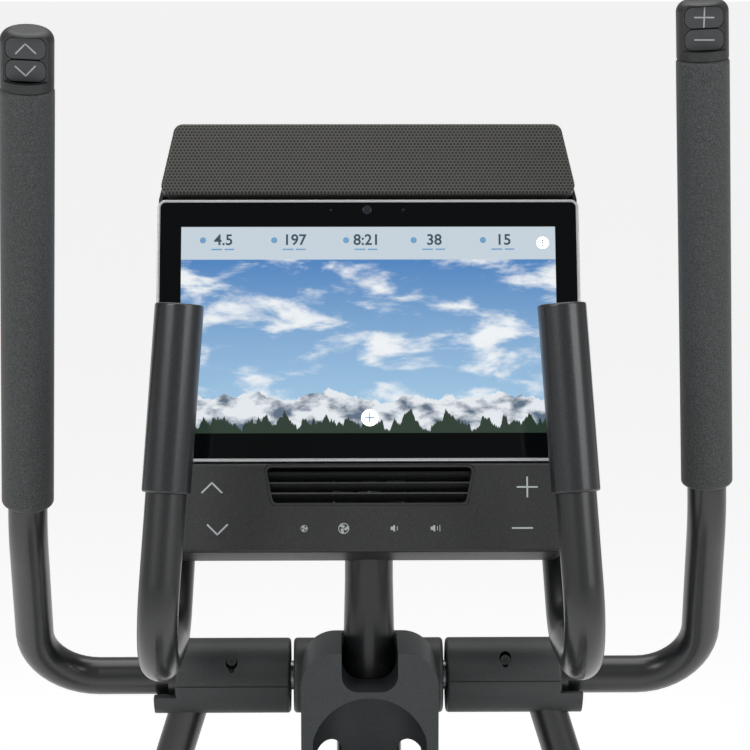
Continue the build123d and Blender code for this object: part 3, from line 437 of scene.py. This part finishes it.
class Wardrobe:
    """Keeps one material for each finish and hangs it on CAD nodes and new pieces."""

    def __init__(self, nodes: dict[str, Piece]) -> None:
        """Start with the frame's nodes and no materials.

        Args:
            nodes: The CAD nodes by name.
        """
        self.nodes = nodes
        self.made: dict[str, Material] = {}

    def material(self, finish: Finish) -> Material:
        """Give the material of a finish, made on first use.

        Args:
            finish: The finish.

        Returns:
            Its material.
        """
        if finish.name not in self.made:
            self.made[finish.name] = finish.value.build()
        return self.made[finish.name]

    def dress(self, finish: Finish, *names: str) -> None:
        """Put a finish on CAD nodes.

        Args:
            finish: The finish.
            names: Node names.
        """
        for name in names:
            self.put(self.nodes[name], self.material(finish))

    def put(self, piece: Piece, material: Material) -> None:
        """Make a material the only one on a piece.

        Args:
            piece: The piece.
            material: The material.
        """
        if not piece.material_slots:
            piece.data.materials.append(material)
        for slot in piece.material_slots:
            slot.material = material


# ---------------------------------------------------------------- placing
@dataclass(frozen=True)
class Face:
    """A flat face of the object: its middle, its directions and its size."""

    centre: Vector
    across: Vector
    up: Vector
    normal: Vector
    width: float
    height: float

    @classmethod
    def of(cls, piece: Piece, normal: Sequence[float]) -> "Face":
        """Find the front face of a piece that looks along a normal, with its sides along X.

        Args:
            piece: A CAD node.
            normal: The outward normal.

        Returns:
            The face, its middle on the piece's foremost point.
        """
        out = Vector(normal).normalized()
        across = (Vector((1, 0, 0)) - out * out.x).normalized()
        up = out.cross(across)
        points = [vertex.co for vertex in piece.data.vertices]
        spans = [[axis.dot(point) for point in points] for axis in (across, up)]
        middle = [(min(span) + max(span)) / 2 for span in spans]
        front = max(out.dot(point) for point in points)
        centre = across * middle[0] + up * middle[1] + out * front
        width, height = (max(span) - min(span) for span in spans)
        return cls(centre, across, up, out, width, height)

    def matrix(self, x: float = 0.0, y: float = 0.0, out: float = 0.0, turn: float = 0.0) -> Matrix:
        """Give a placing on the face.

        Args:
            x: Across from the middle, in millimetres.
            y: Up from the middle, in millimetres.
            out: Off the face, in millimetres.
            turn: Turn about the normal, in radians.

        Returns:
            The placing.
        """
        place = self.centre + self.across * x * MM + self.up * y * MM + self.normal * out * MM
        axes = Matrix((self.across, self.up, self.normal)).transposed().to_4x4()
        return Matrix.Translation(place) @ axes @ Matrix.Rotation(turn, 4, "Z")


def clear_selection() -> None:
    """Deselect everything, so that an operator acts only on the new piece."""
    bpy.ops.object.select_all(action="DESELECT")


def settle(name: str, place: Matrix) -> Piece:
    """Name the active piece, put it in place and bring its object back to the origin.

    Args:
        name: The piece's name.
        place: Where its own origin goes.

    Returns:
        The piece.
    """
    piece = bpy.context.object
    piece.name = name
    piece.data.transform(place @ piece.matrix_world)
    piece.matrix_world = Matrix.Identity(4)
    return piece


def slab(name: str, place: Matrix, size_mm: tuple[float, float, float],
         bevel_mm: float = 0.2) -> Piece:
    """A thin block with softened edges, lying on a face.

    Args:
        name: The piece's name.
        place: The middle of its underside.
        size_mm: Width, height and thickness.
        bevel_mm: Edge radius.

    Returns:
        The piece.
    """
    clear_selection()
    width, height, thick = (value * MM for value in size_mm)
    bpy.ops.mesh.primitive_cube_add(size=1, location=(0, 0, 0))
    piece = bpy.context.object
    piece.data.transform(Matrix.Diagonal((width, height, thick, 1)))
    piece.data.transform(Matrix.Translation((0, 0, thick / 2)))
    bpy.ops.object.mode_set(mode="EDIT")
    bpy.ops.mesh.select_all(action="SELECT")
    bpy.ops.mesh.bevel(offset=bevel_mm * MM, segments=2, affect="EDGES")
    bpy.ops.object.mode_set(mode="OBJECT")
    return settle(name, place)


def disc(name: str, place: Matrix, radius_mm: float, thick_mm: float,
         sides: int = 32) -> Piece:
    """A thin round plate with a softened rim, lying on a face.

    Args:
        name: The piece's name.
        place: The middle of its underside.
        radius_mm: Its radius.
        thick_mm: Its thickness.
        sides: How many sides stand for the circle.

    Returns:
        The piece.
    """
    clear_selection()
    bpy.ops.mesh.primitive_cylinder_add(vertices=sides, radius=radius_mm * MM, depth=thick_mm * MM,
                                        location=(0, 0, thick_mm * MM / 2))
    piece = bpy.context.object
    bpy.ops.object.mode_set(mode="EDIT")
    bpy.ops.mesh.select_all(action="SELECT")
    bpy.ops.mesh.bevel(offset=min(thick_mm * 0.3, 0.4) * MM, segments=2, affect="EDGES")
    bpy.ops.object.mode_set(mode="OBJECT")
    return settle(name, place)


def ring(name: str, place: Matrix, radius_mm: float, wire_mm: float) -> Piece:
    """A thin round ring lying on a face.

    Args:
        name: The piece's name.
        place: The ring's middle.
        radius_mm: Radius of the ring.
        wire_mm: Radius of its wire.

    Returns:
        The piece.
    """
    clear_selection()
    bpy.ops.mesh.primitive_torus_add(major_radius=radius_mm * MM, minor_radius=wire_mm * MM,
                                     major_segments=36, minor_segments=8, location=(0, 0, 0))
    return settle(name, place)


def joined(name: str, pieces: Sequence[Piece]) -> Piece:
    """Join pieces into one.

    Args:
        name: The name of the result.
        pieces: At least one piece.

    Returns:
        The joined piece.
    """
    clear_selection()
    for piece in pieces:
        piece.select_set(True)
    bpy.context.view_layer.objects.active = pieces[0]
    if len(pieces) > 1:
        bpy.ops.object.join()
    bpy.context.object.name = name
    return bpy.context.object


def lettering(name: str, face: Face, text: str, spot: tuple[float, float], size_mm: float) -> Piece:
    """Lay flat numerals on a face.

    Args:
        name: The piece's name.
        face: The face they lie on.
        text: The numerals.
        spot: Middle of the text on the face, in millimetres.
        size_mm: Height of the figures.

    Returns:
        The numerals as a mesh.
    """
    clear_selection()
    bpy.ops.object.text_add(location=(0, 0, 0))
    curve = bpy.context.object
    curve.data.body = text
    curve.data.align_x = "CENTER"
    curve.data.align_y = "CENTER"
    curve.data.size = size_mm * 1.35 * MM
    curve.data.extrude = 0.03 * MM
    curve.data.offset = 0.22 * MM
    bpy.ops.object.convert(target="MESH")
    return settle(name, face.matrix(spot[0], spot[1], 0.05))


def stroke(face: Face, start: tuple[float, float], end: tuple[float, float], width: float,
           thick: float = 0.25) -> Piece:
    """One straight raised stroke of a legend.

    Args:
        face: The face it lies on.
        start: One end on the face, in millimetres.
        end: The other end.
        width: Its width, in millimetres.
        thick: Its thickness, in millimetres.

    Returns:
        The stroke.
    """
    run = (end[0] - start[0], end[1] - start[1])
    middle = ((start[0] + end[0]) / 2, (start[1] + end[1]) / 2)
    place = face.matrix(middle[0], middle[1], 0.0, math.atan2(run[1], run[0]))
    size = (math.hypot(*run) + width * 0.8, width, thick)
    return slab("stroke", place, size, min(width, thick) * 0.25)


class Legend(Enum):
    """The signs on keys: strokes between points, in units of half the sign's size."""

    UP = (((-1.0, -0.5), (0.0, 0.5)), ((0.0, 0.5), (1.0, -0.5)))
    DOWN = (((-1.0, 0.5), (0.0, -0.5)), ((0.0, -0.5), (1.0, 0.5)))
    PLUS = (((-1.0, 0.0), (1.0, 0.0)), ((0.0, -1.0), (0.0, 1.0)))
    MINUS = (((-1.0, 0.0), (1.0, 0.0)),)

    def draw(self, name: str, face: Face, spot: tuple[float, float], half_mm: float,
             width: float) -> Piece:
        """Draw the sign on a face.

        Args:
            name: The piece's name.
            face: The face it lies on.
            spot: The sign's middle on the face, in millimetres.
            half_mm: Half of its size.
            width: Width of its strokes, in millimetres.

        Returns:
            The sign.
        """
        strokes = []
        for start, end in self.value:
            a = (spot[0] + start[0] * half_mm, spot[1] + start[1] * half_mm)
            b = (spot[0] + end[0] * half_mm, spot[1] + end[1] * half_mm)
            strokes.append(stroke(face, a, b, width))
        return joined(name, strokes)


@dataclass
class SubAssembly:
    """What every sub-assembly has: the wardrobe, and a list of the pieces it adds."""

    wardrobe: Wardrobe
    record: dict
    body: str = "frame"
    pieces: list[Piece] = field(default_factory=list)

    def keep(self, piece: Piece, finish: Finish, slot: str, body: str | None = None) -> Piece:
        """Dress a new piece and let it ride on its body.

        Args:
            piece: The new piece.
            finish: Its finish.
            slot: The record's material slot; not used.
            body: The body it rides on, or the sub-assembly's own if none is given.

        Returns:
            The piece.
        """
        self.wardrobe.put(piece, self.wardrobe.material(finish))
        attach(piece, body or self.body)
        self.pieces.append(piece)
        LOG.info("piece %s on %s", piece.name, body or self.body)
        return piece

    def joint(self, name: str) -> dict:
        """Find a joint in the record.

        Args:
            name: The joint's name.

        Returns:
            The record's entry.
        """
        return next(joint for joint in self.record["behaviour"]["joints"] if joint["name"] == name)

    def axis(self, joint: str) -> Vector:
        """Give the axis of a joint.

        Args:
            joint: The joint's name.

        Returns:
            The axis.
        """
        return Vector(self.joint(joint)["axis"])


@dataclass
class Structure(SubAssembly):
    """Base, stabilizers, upright, mast, pivot axle and the fixed pulse handles."""

    def build(self) -> None:
        """Dress the steelwork and its small parts."""
        dress = self.wardrobe.dress
        dress(Finish.POWDER_COAT, "base_frame", "front_stabilizer", "rear_stabilizer", "upright_post",
              "console_mast", "pulse_bar_left", "pulse_bar_right", "lift_motor")
        dress(Finish.RUBBER, "levelling_feet", "stabilizer_end_caps")
        dress(Finish.NYLON, "transport_wheels")
        dress(Finish.TURNED_STEEL, "pivot_axle", "lift_rod")
        dress(Finish.SENSOR_SLEEVE, "pulse_sleeve_left", "pulse_sleeve_right")
        dress(Finish.COVER_ABS, "centre_pivot_cover", "power_inlet")
        dress(Finish.HOLDER_ABS, "bottle_holder")


@dataclass
class Console(SubAssembly):
    """Touch screen, speaker bar, lower panel with fan, and their legends."""

    legend_width_mm: float = 1.35
    legend_half_mm: float = 8.0
    rows_mm: tuple[float, float] = (16.2, -17.5)
    readings: tuple[tuple[str, float], ...] = (
        ("4.5", -120.0), ("197", -61.0), ("8:21", -1.5), ("38", 54.5), ("15", 112.0))
    picture_m: tuple[float, float] = (0.310, 0.1744)
    reading_line_mm: float = 75.6
    menu_mm: tuple[float, float] = (144.5, 73.2)
    add_mm: tuple[float, float] = (0.5, -74.4)
    camera_up_mm: float = 101.5
    film_mm: float = 0.05            # how far the lit marks stand off the display

    def build(self) -> None:
        """Dress the housings and draw the picture, the readings and the legends."""
        dress = self.wardrobe.dress
        dress(Finish.CONSOLE_ABS, "console_rear_shell", "console_lower_panel", "fan_louvre",
              "fan_impeller")
        dress(Finish.TURNED_STEEL, "fan_motor")
        dress(Finish.SILVER, "tablet_housing")
        dress(Finish.BLACK_GLASS, "screen_bezel")
        nodes = self.wardrobe.nodes
        normal = self.axis("fan_spin")
        screen = Face.of(nodes["display_panel"], normal)
        picture = Face(screen.centre, screen.across, screen.up, screen.normal, *self.picture_m)
        self.wardrobe.put(nodes["display_panel"], Landscape().build(picture))
        tilt = math.atan2(normal.z, -normal.y)
        self.wardrobe.put(nodes["speaker_grille"], PerforatedMesh().build(tilt))
        self.draw_screen(picture)
        self.draw_camera(Face.of(nodes["screen_bezel"], normal))
        self.draw_panel(Face.of(nodes["console_lower_panel"], normal))

    def draw_screen(self, face: Face) -> None:
        """Draw the readings with their icons and captions, and the picture's round buttons.

        Args:
            face: The part of the display that is lit.
        """
        line, film = self.reading_line_mm, self.film_mm
        for number, (text, x) in enumerate(self.readings):
            figures = lettering(f"reading_{number}", face, text, (x, line), 9.5)
            self.keep(figures, Finish.SCREEN_DARK, "display")
            icon = disc(f"reading_icon_{number}", face.matrix(x - 17, line, film), 2.6, 0.08)
            self.keep(icon, Finish.SCREEN_SHADE, "display")
            bars = [slab("bar", face.matrix(x + shift, line - 7.8, film), (length, 1.2, 0.06), 0.02)
                    for shift, length in ((-5.5, 9.0), (5.0, 8.0))]
            self.keep(joined(f"reading_caption_{number}", bars), Finish.SCREEN_SHADE, "display")
        x, y = self.menu_mm
        menu = disc("menu_button", face.matrix(x, y, film), 5.2, 0.08)
        self.keep(menu, Finish.SCREEN_WHITE, "display")
        dots = [disc("dot", face.matrix(x, y + shift, film + 0.09), 0.7, 0.05, 12)
                for shift in (-2, 0, 2)]
        self.keep(joined("menu_dots", dots), Finish.SCREEN_DARK, "display")
        button = disc("add_button", face.matrix(*self.add_mm, film), 7.0, 0.08)
        self.keep(button, Finish.SCREEN_WHITE, "display")
        lifted = face.centre + face.normal * (film + 0.09) * MM
        above = Face(lifted, face.across, face.up, face.normal, 0.0, 0.0)
        sign = Legend.PLUS.draw("add_sign", above, self.add_mm, 3.6, 1.1)
        self.keep(sign, Finish.SCREEN_SHADE, "display")

    def draw_camera(self, face: Face) -> None:
        """Draw a small lens and two sensor dots in the glass above the picture.

        Args:
            face: The front of the bezel.
        """
        height = self.camera_up_mm
        lens = disc("camera_lens", face.matrix(-1, height, 0.0), 3.0, 0.25)
        self.keep(lens, Finish.LENS, "bezel_gloss")
        rim = ring("camera_ring", face.matrix(-1, height, 0.1), 3.4, 0.3)
        self.keep(rim, Finish.SCREW, "bezel_gloss")
        for number, x in enumerate((-31.0, 29.0)):
            dot = disc(f"light_sensor_{number}", face.matrix(x, height, 0.0), 1.0, 0.12, 16)
            self.keep(dot, Finish.LENS, "bezel_gloss")

    def draw_panel(self, face: Face) -> None:
        """Draw the touch legends beside the vent: ramp, resistance, fan and volume.

        Args:
            face: The front of the lower panel.
        """
        high, low = self.rows_mm
        width = self.legend_width_mm
        for name, sign, x, row in (("ramp_up_legend", Legend.UP, -128.0, high),
                                   ("ramp_down_legend", Legend.DOWN, -123.3, low - 0.8),
                                   ("resistance_plus_legend", Legend.PLUS, 128.3, high),
                                   ("resistance_minus_legend", Legend.MINUS, 123.8, low)):
            piece = sign.draw(name, face, (x, row), self.legend_half_mm, width)
            self.keep(piece, Finish.LEGEND, "console_plastic")
        for name, x, size in (("fan_low", -53.0, 2.6), ("fan_high", -21.0, 4.1)):
            blades = []
            for turn in (i * math.tau / 3 for i in range(3)):
                across, up = (x + math.cos(turn) * size * 0.55, low + math.sin(turn) * size * 0.55)
                place = face.matrix(across, up, 0.0, turn + 0.6)
                blades.append(slab("blade", place, (size * 0.9, size * 0.55, 0.2), 0.05))
            blades.append(ring("rim", face.matrix(x, low, 0.1), size, size * 0.1))
            self.keep(joined(f"{name}_legend", blades), Finish.LEGEND, "console_plastic")
        for name, x, waves in (("volume_low", 21.0, 1), ("volume_high", 53.5, 2)):
            parts = [slab("box", face.matrix(x - 3, low, 0.0), (2.0, 2.8, 0.2), 0.05)]
            parts.append(slab("cone", face.matrix(x - 1.2, low, 0.0), (1.6, 5.0, 0.2), 0.05))
            for i in range(waves):
                place = face.matrix(x + 1.4 + 2.0 * i, low, 0.0)
                parts.append(slab("wave", place, (0.6, 3.4 + 1.8 * i, 0.2), 0.05))
            self.keep(joined(f"{name}_legend", parts), Finish.LEGEND, "console_plastic")


@dataclass
class Handles(SubAssembly):
    """The two swinging handles with foam grips, key pods and pivot covers."""

    sign_half_mm: float = 7.4
    sign_width_mm: float = 1.1
    screw_mm: tuple[float, float, float] = (116.0, -24.6, 19.0)
    screw_radius_mm: float = 4.4

    def build(self) -> None:
        """Dress the handles and print the keys."""
        dress = self.wardrobe.dress
        for side in ("left", "right"):
            dress(Finish.POWDER_COAT, f"swing_arm_{side}")
            dress(Finish.FOAM, f"foam_grip_{side}")
            dress(Finish.CONSOLE_ABS, f"key_pod_{side}")
            dress(Finish.COVER_ABS, f"pivot_covers_{side}")
            self.draw_screw(side)
        for key, sign in (("ramp_up_key", Legend.UP), ("ramp_down_key", Legend.DOWN),
                          ("resistance_plus_key", Legend.PLUS), ("resistance_minus_key", Legend.MINUS)):
            dress(Finish.SILICONE, key)
            face = Face.of(self.wardrobe.nodes[key], -self.axis(f"{key}_press"))
            piece = sign.draw(f"{key}_sign", face, (0.0, 0.0), self.sign_half_mm, self.sign_width_mm)
            self.keep(piece, Finish.KEY_LEGEND, "key_rubber", key)

    def draw_screw(self, side: str) -> None:
        """Draw a hexagon socket screw at the bottom of the recess in a pivot cover, with painted shade
        in its socket.

        Args:
            side: Left or right.
        """
        x, y, z = self.screw_mm
        out = x if side == "right" else -x
        place = Vector(self.joint(f"{side}_arm_swing")["pos_m"]) + Vector((out, y, z)) * MM
        place.x = out * MM
        face = Face(place, Vector((1, 0, 0)), Vector((0, 0, 1)), Vector((0, -1, 0)), 0.0, 0.0)
        head = disc(f"cover_screw_{side}", face.matrix(), self.screw_radius_mm, 1.6)
        self.keep(head, Finish.SCREW, "bare_steel", f"{side}_handle")
        flats = self.screw_radius_mm * 0.45
        # The socket is a near-black hexagon disc laid on the head: painted shade standing in for the
        # hollow socket.
        socket = disc(f"screw_socket_shade_{side}", face.matrix(out=1.5), flats, 0.25, 6)
        self.keep(socket, Finish.SOCKET_SHADE, "bare_steel", f"{side}_handle")


@dataclass
class Drive(SubAssembly):
    """Crank, flywheel, belt, brake and the shroud over them."""

    def build(self) -> None:
        """Dress the drive and its covers."""
        dress = self.wardrobe.dress
        dress(Finish.COVER_ABS, "shroud_left", "shroud_right", "crank_disc_left", "crank_disc_right")
        dress(Finish.TURNED_STEEL, "crank_axle", "crank_bearings", "magnet_holder")
        dress(Finish.NYLON, "drive_pulley")
        dress(Finish.RUBBER, "drive_belt")
        dress(Finish.IRON, "flywheel")


@dataclass
class Treads(SubAssembly):
    """Ramp rails, rollers, pedal arms, pedals and links."""

    rib_count: int = 13
    rib_margin_mm: float = 42.0
    rib_mm: tuple[float, float, float] = (96.0, 7.0, 2.4)

    def build(self) -> None:
        """Dress the moving lower parts and add ribs to the mats."""
        dress = self.wardrobe.dress
        dress(Finish.RAIL_STEEL, "ramp_rails")
        for side in ("left", "right"):
            dress(Finish.POWDER_COAT, f"pedal_arm_{side}", f"link_{side}")
            dress(Finish.NYLON, f"pedal_{side}")
            dress(Finish.RUBBER, f"pedal_mat_{side}")
            dress(Finish.URETHANE, f"roller_{side}")
            self.draw_ribs(side)

    def draw_ribs(self, side: str) -> None:
        """Lay cross ribs on the largest upward face of a pedal mat.

        Args:
            side: Left or right.
        """
        mat = self.wardrobe.nodes[f"pedal_mat_{side}"]
        upward = (face for face in mat.data.polygons if face.normal.z > 0.5)
        face = Face.of(mat, max(upward, key=lambda polygon: polygon.area).normal)
        width, length, height = self.rib_mm
        reach = face.height / MM - 2 * self.rib_margin_mm
        ribs = []
        for number in range(self.rib_count):
            along = reach * (number / (self.rib_count - 1) - 0.5)
            ribs.append(slab("rib", face.matrix(0.0, along, -0.4), (width, length, height), 0.6))
        piece = joined(f"mat_ribs_{side}", ribs)
        self.keep(piece, Finish.RUBBER, "rubber", f"{side}_pedal_arm")


@dataclass
class Studio:
    """Pale floor, soft lights and the camera."""

    lens_mm: float = 128.35
    sensor_mm: float = 36.0
    camera: tuple[float, float, float] = (-0.025, -2.0449, 1.7257)
    pitch_deg: float = 8.0
    yaw_deg: float = 0.79
    floor_size: float = 4000.0
    sky_light: float = 0.38
    sky_seen: float = 1.0
    sight_m: float = 9000.0
    lit_spot: tuple[float, float, float] = (0.0, 0.1, 1.35)
    # Each light: name, place, side in metres and power in watts.
    lights: tuple[tuple, ...] = (
        ("key", (-1.9, -2.0, 3.1), 1.8, 60.0),
        ("fill", (2.1, -1.7, 2.6), 1.8, 45.0),
        ("top", (0.0, 0.6, 3.6), 2.2, 40.0))

    def build(self) -> None:
        """Make the floor, lights, world and camera."""
        clear_selection()
        bpy.ops.mesh.primitive_plane_add(size=self.floor_size, location=(0, 0, 0))
        floor = bpy.context.object
        floor.name = "floor"
        paint = Gloss("matt_floor_paint", "#f4f4f4", 0.9, emission=0.6).build()
        floor.data.materials.append(paint)
        world = bpy.data.worlds.new("studio")
        world.use_nodes = True
        sky = world.node_tree.nodes["Background"]
        seen = add(world.node_tree, "ShaderNodeLightPath").outputs["Is Camera Ray"]
        strength = add(world.node_tree, "ShaderNodeMapRange", links={
            0: seen, 3: self.sky_light, 4: self.sky_seen})
        sky.inputs[0].default_value = (1.0, 1.0, 1.0, 1.0)
        world.node_tree.links.new(strength.outputs[0], sky.inputs[1])
        bpy.context.scene.world = world
        for name, place, size, power in self.lights:
            self.light(name, place, size, power)
        view = bpy.data.cameras.new("camera")
        view.lens = self.lens_mm
        view.sensor_width = self.sensor_mm
        view.clip_end = self.sight_m
        eye = bpy.data.objects.new("camera", view)
        bpy.context.collection.objects.link(eye)
        eye.location = self.camera
        eye.rotation_euler = (math.radians(90 - self.pitch_deg), 0.0, -math.radians(self.yaw_deg))
        bpy.context.scene.camera = eye
        bpy.context.scene.view_settings.view_transform = "Standard"

    def light(self, name: str, place: tuple[float, float, float], size: float, power: float) -> None:
        """Hang a square soft light that faces the console.

        Args:
            name: The light's name.
            place: Where it hangs.
            size: Its side, in metres.
            power: Its power, in watts.
        """
        lamp = bpy.data.lights.new(name, "AREA")
        lamp.size = size
        lamp.energy = power
        holder = bpy.data.objects.new(name, lamp)
        bpy.context.collection.objects.link(holder)
        holder.location = place
        aim = Vector(self.lit_spot) - Vector(place)
        holder.rotation_euler = aim.to_track_quat("-Z", "Y").to_euler()


def main() -> None:
    """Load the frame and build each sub-assembly in order."""
    logging.basicConfig(level=logging.INFO, format="%(name)s %(message)s")
    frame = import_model()
    wardrobe = Wardrobe(frame["nodes"])
    for kind in (Structure, Console, Handles, Drive, Treads):
        part = kind(wardrobe, frame["record"])
        part.build()
        LOG.info("%s: %d pieces", kind.__name__, len(part.pieces))
    Studio().build()


if __name__ == "__main__":
    main()
